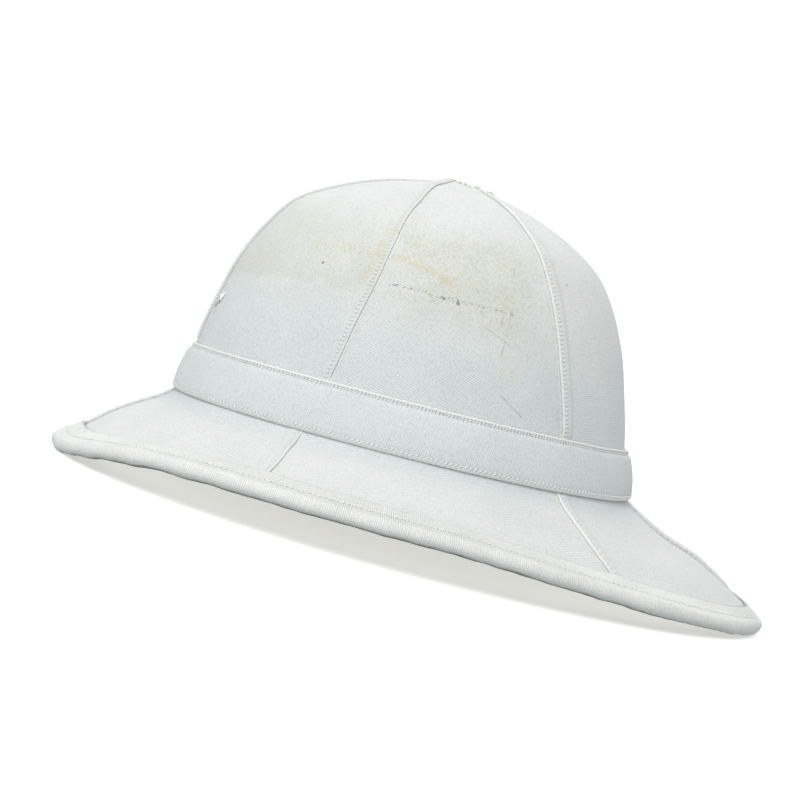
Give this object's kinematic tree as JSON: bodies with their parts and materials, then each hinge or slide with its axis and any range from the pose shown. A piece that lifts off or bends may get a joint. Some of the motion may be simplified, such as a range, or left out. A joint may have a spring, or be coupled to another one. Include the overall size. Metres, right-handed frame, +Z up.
{
  "type": "pith helmet",
  "caption": "Rigid cloth-covered sun helmet with a domed panelled crown, a vent hole at the top, a low cloth band and a sloping bound brim.",
  "frame": {"origin": "on the surface that the hat lies on, under the middle of its box", "axes": "+Z up, -Y towards the front of the hat, +X towards the wearer's left"},
  "size_m": [0.279, 0.3447, 0.1639],
  "materials": {
    "crown_cloth": "matt white cotton drill, stained and scuffed",
    "brim_cloth": "matt white cotton drill",
    "band_cloth": "matt white folded cotton with a ribbed weave",
    "binding_tape": "ribbed off-white cotton tape, soiled at the edge"
  },
  "bodies": {
    "root": {"crown_panel_front_left": "crown_cloth", "crown_panel_left": "crown_cloth", "crown_panel_back_left": "crown_cloth", "crown_panel_back_right": "crown_cloth", "crown_panel_right": "crown_cloth", "crown_panel_front_right": "crown_cloth", "brim_panel_front_left": "brim_cloth", "brim_panel_left": "brim_cloth", "brim_panel_back_left": "brim_cloth", "brim_panel_back_right": "brim_cloth", "brim_panel_right": "brim_cloth", "brim_panel_front_right": "brim_cloth", "hat_band": "band_cloth", "brim_binding": "binding_tape"}
  },
  "joints": []
}
